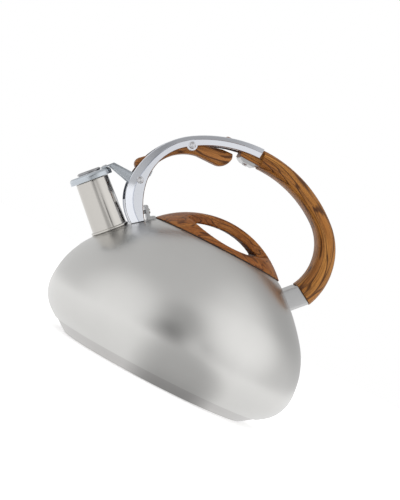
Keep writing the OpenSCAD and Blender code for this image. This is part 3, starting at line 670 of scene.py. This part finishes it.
def buildYoke():
    stations = yokeStations()
    last = len(stations) - 1
    rings = [railRing(o, i, k / last) for k, (o, i) in enumerate(stations)]
    rail = growAlong("yoke", rings)
    hold(rail)
    bpy.ops.object.duplicate()
    other = bpy.context.object
    for vert in other.data.vertices:
        vert.co.y = -vert.co.y
    cleanUp(other)
    hold(rail)
    other.select_set(True)
    bpy.ops.object.join()
    inside = betweenRails + 0.3
    # the web over the trigger
    web = {"start": 110, "end": 149, "thick": 2.2, "inset": 0.25}
    arcs = [(onArc(sideCentre, handleSizes["side"] - web["inset"], a),
             onArc(sideCentre, handleSizes["side"] - web["thick"], a))
            for a in [web["start"] + 13 + (web["end"] - web["start"] - 13) * k / 14 for k in range(15)]]
    crown = [(onArc(crownCentre, handleSizes["crown"] - web["inset"], a),
              onArc(crownCentre, handleSizes["crown"] - web["thick"], a)) for a in (117, 119, 121)]
    strip = growAlong("web", [[flat(o, inside), flat(o, -inside), flat(i, -inside), flat(i, inside)]
                              for o, i in crown + arcs])
    combine(rail, strip, "UNION")
    # the solid foot between the rails, and its flat pad for the bracket
    low = [(o, i) for o, i in stations if (o[1] + i[1]) / 2 < 122 and o[0] < -60]
    block = growAlong("foot", [
        [flat(o.lerp(i, 0.05), inside), flat(o.lerp(i, 0.05), -inside), flat(i, -inside), flat(i, inside)]
        for o, i in low])
    combine(rail, block, "UNION")
    lobe = 4.6
    for side in (-1, 1):
        letGo()
        middle = (halfYoke + betweenRails) / 2 * side
        bpy.ops.mesh.primitive_cylinder_add(
            vertices=48, radius=lobe * mm, depth=(handleSizes["rail"] - 0.02) * mm,
            location=flat(triggerPin, middle), rotation=(math.pi / 2, 0, 0))
        knuckle = bpy.context.object
        flatten(knuckle)
        soften(knuckle, 0.5, 3)
        combine(rail, knuckle, "UNION")
    rail.name = rail.data.name = "yoke"
    settle(rail, "vessel", "yoke_chrome", "handle_yoke", angle=12)


def buildPins():
    # a headed pin with a ringed, dimpled face at each end
    edge, shank = halfYoke + 0.05, 2
    for name, node, centre in (("armPin", "arm_pin", armPin), ("triggerPin", "trigger_pin", triggerPin)):
        head = [
            (0, edge + 0.75), (0.55, edge + 0.75, 0.15), (0.95, edge + 1.05, 0.2),
            (1.35, edge + 1.05, 0.15), (1.6, edge + 0.8, 0.1), (1.95, edge + 1.15, 0.2),
            (2.5, edge + 1.1, 0.3), (3, edge + 0.45, 0.3), (3, edge, 0.1), (shank, edge)]
        profile = rounded(head + [(p[0], -p[1], *p[2:]) for p in head[::-1]], 3)
        piece = turnOnAxis(name, profile, flat(centre), sideways, Vector((1, 0, 0)), 40)
        settle(piece, "vessel", "pin_steel", node)


# the wood pieces
def flowAlong(piece, line):
    # writes how far along a line, how far beside it and how far across each point lies
    reach = [0]
    for a, b in zip(line, line[1:]):
        reach.append(reach[-1] + (b - a).length)
    values = []
    for vert in piece.data.vertices:
        point = Vector((vert.co.x / mm, vert.co.z / mm))
        best = None
        for k, (a, b) in enumerate(zip(line, line[1:])):
            span = b - a
            share = (point - a).dot(span) / span.length_squared
            share = min(max(share, 0 if k else -9), 1 if k < len(line) - 2 else 9)
            spot = a + span * share
            gap = (point - spot).length
            if best is None or gap < best[0]:
                side = span.x * (point - a).y - span.y * (point - a).x
                best = (gap, reach[k] + share * span.length, gap if side > 0 else -gap)
        values += [best[1] * mm, best[2] * mm, vert.co.y]
    layer = piece.data.attributes.new("figurePlace", "FLOAT_VECTOR", "POINT")
    layer.data.foreach_set("vector", values)


def softRing(outer, inner, halfWidth, square, sides):
    # a squared ellipse between an outer and an inner point
    middle, reach = (outer + inner) / 2, (outer - inner) / 2
    ring = []
    for k in range(sides):
        a = math.tau * k / sides
        c = math.copysign(abs(math.cos(a)) ** (2 / square), math.cos(a))
        s = math.copysign(abs(math.sin(a)) ** (2 / square), math.sin(a))
        ring.append(flat(middle + reach * c, halfWidth * s))
    return ring


gripSizes = {
    "width": 27, "square": 2.6, "bend": 57.8, "bendTurn": 48.8, "end": -25, "inner": 96.3,
    "innerBend": 39.2, "innerTurn": 53.8, "innerEnd": -30, "front": 91.6, "edge": 0.5}
gripBendCentre = nextCentre(crownCentre, handleSizes["crown"], gripSizes["bend"], gripSizes["bendTurn"])
gripInnerCentre = Vector((4, handleHeight - 16 - gripSizes["inner"]))
gripInnerBendCentre = nextCentre(gripInnerCentre, gripSizes["inner"], gripSizes["innerBend"],
                                 gripSizes["innerTurn"])
gripEndOuter = onArc(gripBendCentre, gripSizes["bend"], gripSizes["end"])
gripEndInner = onArc(gripInnerBendCentre, gripSizes["innerBend"], gripSizes["innerEnd"])


def buildGrip():
    g = gripSizes
    outer = (arcLine(crownCentre, handleSizes["crown"], g["front"], g["bendTurn"], 20)
             + arcLine(gripBendCentre, g["bend"], g["bendTurn"], g["end"], 30)[1:])
    inner = (arcLine(gripInnerCentre, g["inner"], g["front"] + 1.4, g["innerTurn"], 20)
             + arcLine(gripInnerBendCentre, g["innerBend"], g["innerTurn"], g["innerEnd"], 30)[1:])
    stations = list(zip(outer, inner))
    rings = []
    for o, i in stations:
        rings.append(softRing(o, i, g["width"] / 2, g["square"], 48))
    # a small rounding at each end
    for at, towards in ((0, 1), (-1, -2)):
        o, i = stations[at]
        o2, i2 = stations[towards]
        back = ((o2 + i2) - (o + i)).normalized()
        inset = (i - o).normalized() * g["edge"]
        end = softRing(o + inset, i - inset, g["width"] / 2 - g["edge"], g["square"], 48)
        o, i = o + back * g["edge"] * 0.7, i + back * g["edge"] * 0.7
        near = softRing(o + inset * 0.12, i - inset * 0.12, g["width"] / 2 - 0.06, g["square"], 48)
        if at == 0:
            rings = [end, near] + rings[1:]
        else:
            rings = rings[:-1] + [near, end]
    grip = growAlong("grip", rings)
    # the tongue that reaches forward between the rails, its tip standing a little proud
    t = {"tip": -41, "thin": 3.6, "step": -20, "drop": 14.2, "sink": 0.8, "proud": 0.9,
         "riseFrom": 29, "riseTo": 36, "tipDrop": 2.16, "corner": 0.9}
    halfGap = betweenRails - 0.05
    stops = [4, 0, -5, -10, -15, t["step"] + 0.1, t["step"] - 0.1, -24, -28, -31, -33.5, -36, -38.5,
             -40.2, t["tip"]]
    tongue = []
    for x in stops:
        lift = t["sink"] - (t["sink"] + t["proud"]) * easeIn(-x, t["riseFrom"], t["riseTo"])
        top = crownCentre[1] + math.sqrt((handleSizes["crown"] - lift) ** 2 - x ** 2)
        top -= easeIn(-x, t["riseTo"], -t["tip"]) * t["tipDrop"]
        low = handleHeight - t["drop"]
        if x < t["step"]:
            low = crownCentre[1] + math.sqrt((handleSizes["crown"] - t["sink"] - t["thin"]) ** 2 - x ** 2)
        corner = t["corner"]
        tongue.append([flat((x, z), y) for z, y in (
            (low, -halfGap), (low, halfGap), (top - corner, halfGap), (top, halfGap - corner),
            (top, corner - halfGap), (top - corner, -halfGap))])
    block = growAlong("tongue", tongue)
    combine(grip, block, "UNION")
    grip.name = grip.data.name = "grip"
    line = resample([(o + i) / 2 for o, i in stations], 60)
    line = [Vector((-60, handleHeight - 18)), Vector((-30, handleHeight - 10.5))] + line
    flowAlong(grip, line)
    settle(grip, "vessel", "grip_wood", "grip", slot="wood_look", angle=35)


def buildTrigger():
    t = {"nose": 5.5, "width": 17.6, "noseWidth": 12.4, "narrow": 21.5, "under": 36, "pad": 10,
         "outer": 59.9, "square": 3.6}
    nose = armPin + Vector((-4.5, 12.5))
    under = triggerPin + Vector((15.2, -40.6))
    pad = Vector((-34.5, handleHeight - 20))
    tip = 200
    outside = (arcLine(nose, t["nose"], tip, 128, 8)
               + arcLine(sideCentre, t["outer"], 150, 126, 10)
               + [triggerPin + Vector((2, 4.8)), triggerPin + Vector((12, 6.4)), pad + Vector((0, 4.4))]
               + arcLine(pad, t["pad"], 30, 4, 6))
    inside = (arcLine(nose, t["nose"], tip, 368, 16)
              + arcLine(under, t["under"], 157, 101, 14)
              + arcLine(pad, t["pad"], -90, 4, 14))
    count = 64
    outside, inside = resample(outside, count), resample(inside, count)
    rings = []
    for k in range(1, count):
        o, i = outside[k], inside[k]
        near = min((p - armPin).length for p in (o, i, (o + i) / 2))
        grow = easeIn(near, t["narrow"] + 0.8, t["narrow"] + 3.2)
        width = t["noseWidth"] + (t["width"] - t["noseWidth"]) * grow
        end = min(k, count - k)
        width *= 1 - 0.14 * (1 - easeIn(end, 0, 5)) ** 2
        rings.append(softRing(o, i, width / 2, t["square"], 40))
    piece = growAlong("trigger", rings)
    flowAlong(piece, [(o + i) / 2 for o, i in zip(outside, inside)][::3])
    settle(piece, "trigger", "trigger_wood", "trigger", slot="wood_look", angle=50)


def buildLid():
    lid = {"rise": 25, "fingers": 30, "arch": 8.6, "archWidth": 19, "floor": 4.2, "floorRise": 5,
           "scoop": 62, "voxel": 0.75}
    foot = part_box("lid_knob")[0].z / mm
    radius = (bodySizes["rim"] ** 2 + lid["rise"] ** 2) / (2 * lid["rise"])
    top = foot + lid["rise"]
    capTurn = math.degrees(math.asin(bodySizes["rim"] / radius))
    dome = arcLine((0, top - radius), radius, 90, 90 - capTurn, 28)
    dome[0] = Vector((0, top))
    knob = bodyTurning("lidKnob", [Vector((0, foot))] + dome, 160)
    # the floor and the roof of the finger opening are two wide arcs
    floorLow = foot + lid["floor"]
    roofHigh = top - lid["arch"]
    floorRadius = (lid["fingers"] ** 2 + lid["floorRise"] ** 2) / (2 * lid["floorRise"])
    drop = roofHigh - floorLow - lid["floorRise"]
    roofRadius = (lid["fingers"] ** 2 + drop ** 2) / (2 * drop)
    floorTurn = math.degrees(math.asin(lid["fingers"] / floorRadius))
    roofTurn = math.degrees(math.asin(lid["fingers"] / roofRadius))
    clear = 0.06  # keeps the opening's floor off the bowl's
    lens = (arcLine((0, floorLow + clear + floorRadius), floorRadius, 270 - floorTurn, 270 + floorTurn, 32)
            + arcLine((0, roofHigh - roofRadius), roofRadius, 90 - roofTurn, 90 + roofTurn, 32)[1:-1])
    half = lid["archWidth"] * 2
    opening = growAlong("opening", [[flat(p, -half) for p in lens], [flat(p, half) for p in lens]])
    # the scoops on both sides leave the arch standing: a curved wall over a wide bowl
    wide = 1.1 * bodySizes["rim"]
    count = 72
    for side in (-1, 1):
        middle = side * (lid["archWidth"] / 2 + lid["scoop"])
        columns = []
        for k in range(count + 1):
            x = -wide + 2 * wide * k / count
            near = middle - side * math.sqrt(max(lid["scoop"] ** 2 - x ** 2, 4))
            far = side * 1.2 * bodySizes["rim"]
            low = floorLow + floorRadius - math.sqrt(floorRadius ** 2 - x ** 2)
            columns.append([flat((x, low), near), flat((x, low), far), flat((x, top + 8), far),
                            flat((x, top + 8), near)])
        combine(knob, growAlong("scoop", columns), "DIFFERENCE")
    combine(knob, opening, "DIFFERENCE")
    # a fine even mesh lets every edge be eased by hand
    remesh = knob.modifiers.new("even", "REMESH")
    remesh.mode = "VOXEL"
    remesh.voxel_size = lid["voxel"] * mm
    ease = knob.modifiers.new("ease", "SMOOTH")
    ease.factor, ease.iterations = 0.5, 4
    applyModifiers(knob)
    line = [Vector((-70, foot + 12)), Vector((-30, foot + 16)), Vector((0, foot + 20)),
            Vector((30, foot + 16)), Vector((70, foot + 12))]
    flowAlong(knob, line)
    settle(knob, "lid", "lid_wood", "lid_knob", slot="wood_look", angle=None)
    # the plate under it, its skirt and the black seal
    plug, sheet, skirt = bodySizes["mouth"] - 1.2, 0.8, 6
    plate = rounded([
        (0, foot - 0.05), (0, foot - sheet), (plug - sheet - 0.5, foot - sheet),
        (plug - sheet, foot - sheet - 0.5), (plug - sheet, foot - sheet - skirt, 0.3),
        (plug, foot - sheet - skirt, 0.3), (plug, foot - sheet, 0.2), (plug + sheet, foot - sheet, 0.2),
        (plug + sheet, foot - 0.05)])
    piece = bodyTurning("lidPlate", plate, 120)
    settle(piece, "lid", "base_steel", "lid_plate")
    low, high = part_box("lid_gasket")
    outer = high.x / mm
    seal = rounded([
        (plug + 0.85, low.z / mm), (outer, low.z / mm, 0.25), (outer, high.z / mm, 0.25),
        (plug + 0.85, high.z / mm)])
    piece = bodyTurning("lidSeal", seal, 120)
    settle(piece, "lid", "seal_rubber", "lid_gasket")


# the brackets and the plate under the tongue
def buildRearBracket():
    b = {"long": 18.4, "wide": 21, "lean": 43, "corner": 2.6, "edge": 0.5}
    middle = (gripEndOuter + gripEndInner) / 2
    along = (gripEndOuter - gripEndInner).normalized()
    up = Vector((-along.y, along.x))
    if up.y < 0:
        up = -up
    lean = math.radians(b["lean"])
    down = -Vector((math.sin(lean), math.cos(lean)))
    base = rounded([
        (-b["long"] / 2, -b["wide"] / 2, 1.2), (b["long"] / 2, -b["wide"] / 2, b["corner"]),
        (b["long"] / 2, b["wide"] / 2, b["corner"]), (-b["long"] / 2, b["wide"] / 2, 1.2)], 5)

    def station(depth, inset):
        ring = []
        for p in base:
            a = p[0] * (1 - 2 * inset / b["long"])
            y = p[1] * (1 - 2 * inset / b["wide"])
            ring.append(flat(middle + along * a - up * 0.05 + down * depth, y))
        return ring

    # the foot follows the dome
    foot = []
    for p in base:
        start = middle + along * p[0]
        depth = 0
        while depth < 60:
            here = start + down * depth
            if here.y < bodyHeight(math.hypot(here.x, p[1])):
                break
            depth += 0.05
        foot.append(flat(start + down * (depth + 0.1), p[1]))
    piece = growAlong("rearBracket", [station(0, b["edge"]), station(b["edge"], 0), foot])
    settle(piece, "vessel", "bracket_steel", "rear_bracket", angle=35)


def buildFrontBracket():
    tab = {"distance": 63.4, "thick": 2.4, "tall": 12, "wide": 15, "toe": 7, "toeThick": 2}
    angle = math.radians(domeAngle(tab["distance"]))
    foot = flat((-tab["distance"], domeHeight(tab["distance"])))
    out = Vector((math.sin(angle), 0, math.cos(angle)))
    up = Vector((-math.cos(angle), 0, math.sin(angle)))
    # an L seen from the side, its top edge round
    section = rounded([
        (0, -0.6), (tab["toe"], -0.9, 0.6), (tab["toe"], tab["toeThick"], 0.8),
        (tab["thick"], tab["toeThick"], 1), (tab["thick"], tab["tall"], 1.15), (0, tab["tall"], 1.15)], 5)
    half = tab["wide"] / 2
    rings = []
    for y, inset in ((-half, 0.35), (-half + 0.35, 0), (half - 0.35, 0), (half, 0.35)):
        rings.append([foot + out * ((p[0] + (0.35 - p[0] * 0.06 if inset else 0)) * mm)
                      + up * ((p[1] * (0.97 if inset else 1)) * mm) + sideways * (y * mm) for p in section])
    piece = growAlong("frontBracket", rings)
    settle(piece, "vessel", "bracket_steel", "front_bracket", angle=40)


def buildTonguePlate():
    plate = {"front": -19, "step": -15.6, "back": -5, "drop": 14.2, "thick": 3, "edge": 0.35}
    top = handleHeight - plate["drop"] - 0.05
    low = handleHeight - plate["drop"] - plate["thick"]
    section = rounded([
        (plate["front"], top - plate["thick"] / 3, 0.3), (plate["step"], low, 1.2),
        (plate["back"], low, 0.3), (plate["back"], top), (plate["front"], top)])
    half = betweenRails - 0.05
    middle = Vector(((plate["front"] + plate["back"]) / 2, (top + low) / 2))
    stations = ((-half, 0.94), (plate["edge"] - half, 1), (half - plate["edge"], 1), (half, 0.94))
    piece = growAlong("tonguePlate", [
        [flat(middle + (p - middle) * share, y) for p in section] for y, share in stations])
    settle(piece, "vessel", "bracket_steel", "tongue_plate")


def buildCapArm():
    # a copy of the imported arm, merged, with its flat faces whole and its edges eased
    source = frame["nodes"]["cap_arm"]
    letGo()
    piece = source.copy()
    piece.data = source.data.copy()
    bpy.context.scene.collection.objects.link(piece)
    piece.parent = None
    piece.matrix_world = Matrix.Identity(4)
    piece.name = piece.data.name = "capArm"
    for key in list(piece.keys()):
        del piece[key]
    cleanUp(piece)
    editing(piece)
    bpy.ops.mesh.select_all(action="SELECT")
    bpy.ops.mesh.dissolve_limited(angle_limit=math.radians(1))
    backToObject()
    soften(piece, 0.25, angle=40)
    settle(piece, "spout_cap", "cap_steel", "cap_arm", angle=35)


buildShell()
buildBase()
print("body made")
buildSpout()
buildCap()
print("spout made")
buildYoke()
buildPins()
buildGrip()
buildTrigger()
print("handle made")
buildLid()
print("lid made")
buildRearBracket()
buildFrontBracket()
buildTonguePlate()
buildCapArm()

# the small pieces that stay as packed
slots = {row["node"]: row["material_slot"] for row in frame["record"]["subparts"]}
for node, piece in frame["nodes"].items():
    look = slots[node]
    if look == "wood_look":
        look = "grip_wood"
    piece.data.materials.clear()
    piece.data.materials.append(finishes[look])
print("small pieces finished")


# floor, light and camera
def directionMask(tree, place, towards, inner, outer):
    # one inside a cone round a direction, nought outside a wider one
    dot = addNode(tree, "ShaderNodeVectorMath", operation="DOT_PRODUCT")
    tree.links.new(place, dot.inputs[0])
    dot.inputs[1].default_value = towards
    mask = addNode(tree, "ShaderNodeMapRange", interpolation_type="SMOOTHSTEP")
    mask.inputs["From Min"].default_value = math.cos(math.radians(outer))
    mask.inputs["From Max"].default_value = math.cos(math.radians(inner))
    tree.links.new(dot.outputs["Value"], mask.inputs["Value"])
    return mask.outputs[0]


# the glow keeps the floor evenly pale; light, dark and seen are painted reflection: the floor's glow and
# grey as only the metal sees them, with painted shade in a sector in front of the kettle
floorLook = {
    "size": 40, "drop": 0.2, "colour": (0.88, 0.88, 0.88), "shade": 0.97, "roughness": 0.7, "glow": 0.46,
    "turn": 2, "spread": (5, 30), "light": 0.82, "dark": 0.34, "seen": 0.2}


def floorMaterial(look):
    material = bpy.data.materials.new("paleFloor")
    material.use_nodes = True
    tree = material.node_tree
    shader = tree.nodes["Principled BSDF"]
    shader.inputs["Roughness"].default_value = look["roughness"]
    shader.inputs["Emission Color"].default_value = (1, 1, 1, 1)
    place = tree.nodes.new("ShaderNodeTexCoord").outputs["Object"]
    darker = [c * look["shade"] for c in look["colour"]]
    plain = blendColours(tree, noiseNode(tree, place, 6, 2), (*look["colour"], 1), (*darker, 1))
    # painted reflection: the metal sees a grey floor that glows, less so in a sector in front of the
    # kettle, which paints a dark patch into the metal's reflections
    glossy = tree.nodes.new("ShaderNodeLightPath").outputs["Is Glossy Ray"]
    seen = (look["seen"], look["seen"], look["seen"], 1)
    tree.links.new(blendColours(tree, glossy, plain, seen), shader.inputs["Base Color"])
    outward = addNode(tree, "ShaderNodeVectorMath", operation="NORMALIZE")
    tree.links.new(place, outward.inputs[0])
    turn = math.radians(look["turn"])
    mask = directionMask(tree, outward.outputs[0], (math.sin(turn), -math.cos(turn), 0), *look["spread"])
    shade = mathNode(tree, "MULTIPLY_ADD", mask, look["dark"] - look["light"], look["light"])
    more = mathNode(tree, "SUBTRACT", shade, look["glow"])
    tree.links.new(mathNode(tree, "MULTIPLY_ADD", glossy, more, look["glow"]),
                   shader.inputs["Emission Strength"])
    return material


letGo()
bpy.ops.mesh.primitive_plane_add(size=floorLook["size"], location=(0, 0, -floorLook["drop"] * mm))
floor = bpy.context.object
floor.name = "floor"
floor.data.materials.append(floorMaterial(floorLook))

camera = {"distance": 1.0, "azimuth": -9, "eye": 72, "aim": (-12.3, 0, 110), "lens": 87.1, "roll": 27.3}
turn = math.radians(camera["azimuth"])
aim = Vector(camera["aim"]) * mm
rise = camera["eye"] * mm - aim.z
level = math.sqrt(camera["distance"] ** 2 - rise ** 2)
eye = aim + Vector((math.sin(turn) * level, -math.cos(turn) * level, rise))
letGo()
bpy.ops.object.camera_add(location=eye)
view = bpy.context.object
view.name = "camera"
view.data.lens = camera["lens"]
view.data.sensor_width = 36
view.data.clip_start, view.data.clip_end = 0.01, 60
ahead = (aim - eye).normalized()
right = ahead.cross(upright).normalized()
above = right.cross(ahead)
roll = math.radians(camera["roll"])
right, above = (right * math.cos(roll) + above * math.sin(roll),
                above * math.cos(roll) - right * math.sin(roll))
view.rotation_mode = "QUATERNION"
view.rotation_quaternion = Matrix((right, above, -ahead)).transposed().to_quaternion()
bpy.context.scene.camera = view


def softBox(name, place, target, size, power, tint=(1, 1, 1)):
    letGo()
    bpy.ops.object.light_add(type="AREA", location=place)
    light = bpy.context.object
    light.name = name
    light.data.shape = "RECTANGLE"
    light.data.size, light.data.size_y = size
    light.data.energy = power
    light.data.color = tint
    light.rotation_mode = "QUATERNION"
    light.rotation_quaternion = (Vector(target) - Vector(place)).to_track_quat("-Z", "Y")
    return light


for light in (
        softBox("keyLight", (-1.5, -1.4, 1.5), (0, 0, 0.1), (1.4, 1.4), 20),
        softBox("fillLight", (1.7, -1.2, 0.9), (0, 0, 0.1), (1.2, 1.4), 12),
        softBox("backLight", (0.3, 1.8, 1.4), (0, 0, 0.1), (1.6, 0.9), 10)):
    light.visible_glossy = False

# the room that the metal reflects: level and zenith shades, with soft bright and dark patches
room = {
    "level": 0.98, "high": 0.8, "least": 0.03,
    "patches": [  # degrees round from the front, degrees up, inner and outer spread, how much lighter
        (-62, 8, 8, 50, 0.42), (58, 38, 8, 46, 0.6), (-16, 3, 4, 24, -0.66), (-9, 28, 5, 27, -0.36),
        (12, 3, 4, 15, 0.22), (150, 35, 10, 45, -0.3), (20.5, 10, 2.2, 5.5, -0.9)]}
world = bpy.data.worlds.new("studio")
bpy.context.scene.world = world
world.use_nodes = True
tree = world.node_tree
tree.nodes.clear()
out = tree.nodes.new("ShaderNodeOutputWorld")
place = tree.nodes.new("ShaderNodeTexCoord").outputs["Generated"]
split = addNode(tree, "ShaderNodeSeparateXYZ", Vector=place)
upShare = mathNode(tree, "MAXIMUM", split.outputs["Z"], 0.0)
shade = mathNode(tree, "MULTIPLY_ADD", upShare, room["high"] - room["level"], room["level"])
for round_, up, inner, outer, amount in room["patches"]:
    turn, tilt = math.radians(round_), math.radians(up)
    towards = (math.sin(turn) * math.cos(tilt), -math.cos(turn) * math.cos(tilt), math.sin(tilt))
    mask = directionMask(tree, place, towards, inner, outer)
    shade = mathNode(tree, "MULTIPLY_ADD", mask, amount, shade)
shade = mathNode(tree, "MAXIMUM", shade, room["least"])
lit = addNode(tree, "ShaderNodeBackground", Strength=shade)
white = addNode(tree, "ShaderNodeBackground", Color=(1, 1, 1, 1))
path = tree.nodes.new("ShaderNodeLightPath")
choose = tree.nodes.new("ShaderNodeMixShader")
tree.links.new(path.outputs["Is Camera Ray"], choose.inputs[0])
tree.links.new(lit.outputs[0], choose.inputs[1])
tree.links.new(white.outputs[0], choose.inputs[2])
tree.links.new(choose.outputs[0], out.inputs["Surface"])
bpy.context.scene.view_settings.view_transform = "Standard"
letGo()
print("studio set")
